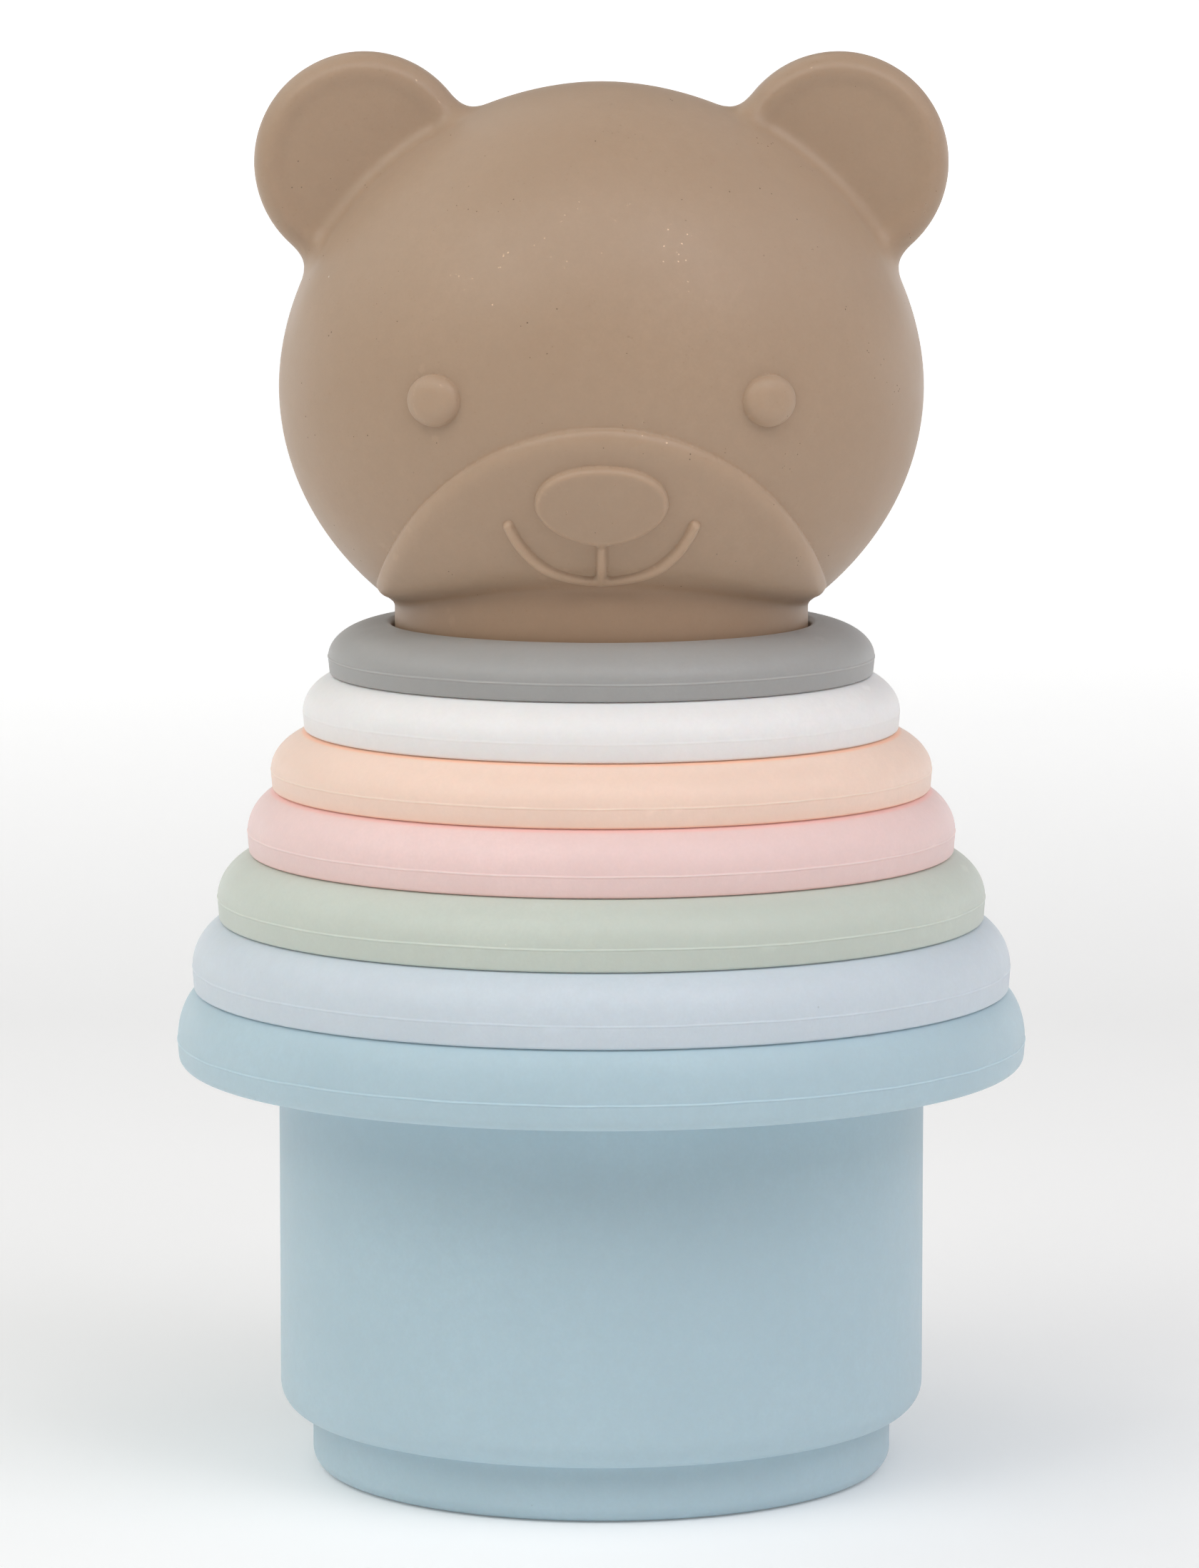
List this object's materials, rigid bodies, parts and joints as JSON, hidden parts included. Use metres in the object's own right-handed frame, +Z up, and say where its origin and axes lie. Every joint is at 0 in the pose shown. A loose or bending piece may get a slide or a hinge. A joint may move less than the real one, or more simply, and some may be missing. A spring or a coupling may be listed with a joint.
{
  "type": "stacking cup tower",
  "caption": "Nested soft silicone cups with domed rims in pastel colours, topped by a hollow bear head whose neck plugs into the smallest cup.",
  "frame": {"origin": "centre of the underside of the largest cup's foot", "axes": "+Z up along the cups' common axis, the bear's face towards -Y, +X to the bear's left"},
  "size_m": [0.09, 0.09, 0.15],
  "materials": {
    "teal_silicone": "matte dusty teal silicone",
    "pale_blue_silicone": "matte pale blue silicone",
    "sage_silicone": "matte sage green silicone",
    "pink_silicone": "matte pale pink silicone",
    "peach_silicone": "matte pale peach silicone",
    "white_silicone": "matte warm white silicone",
    "grey_silicone": "matte mid grey silicone",
    "tan_silicone": "matte tan silicone"
  },
  "bodies": {
    "teal_cup": {"teal_cup": "teal_silicone"},
    "pale_blue_cup": {"pale_blue_cup": "pale_blue_silicone"},
    "sage_cup": {"sage_cup": "sage_silicone"},
    "pink_cup": {"pink_cup": "pink_silicone"},
    "peach_cup": {"peach_cup": "peach_silicone"},
    "white_cup": {"white_cup": "white_silicone"},
    "grey_cup": {"grey_cup": "grey_silicone"},
    "bear_head": {"bear_head": "tan_silicone"}
  },
  "joints": [
    {"name": "pale_blue_cup_lift", "type": "slide", "parent": "teal_cup", "child": "pale_blue_cup", "axis": [0, 0, 1], "range_m": [0, 0.06]},
    {"name": "sage_cup_lift", "type": "slide", "parent": "pale_blue_cup", "child": "sage_cup", "axis": [0, 0, 1], "range_m": [0, 0.056]},
    {"name": "pink_cup_lift", "type": "slide", "parent": "sage_cup", "child": "pink_cup", "axis": [0, 0, 1], "range_m": [0, 0.052]},
    {"name": "peach_cup_lift", "type": "slide", "parent": "pink_cup", "child": "peach_cup", "axis": [0, 0, 1], "range_m": [0, 0.048]},
    {"name": "white_cup_lift", "type": "slide", "parent": "peach_cup", "child": "white_cup", "axis": [0, 0, 1], "range_m": [0, 0.044]},
    {"name": "grey_cup_lift", "type": "slide", "parent": "white_cup", "child": "grey_cup", "axis": [0, 0, 1], "range_m": [0, 0.04]},
    {"name": "bear_head_lift", "type": "slide", "parent": "grey_cup", "child": "bear_head", "axis": [0, 0, 1], "range_m": [0, 0.037]}
  ]
}
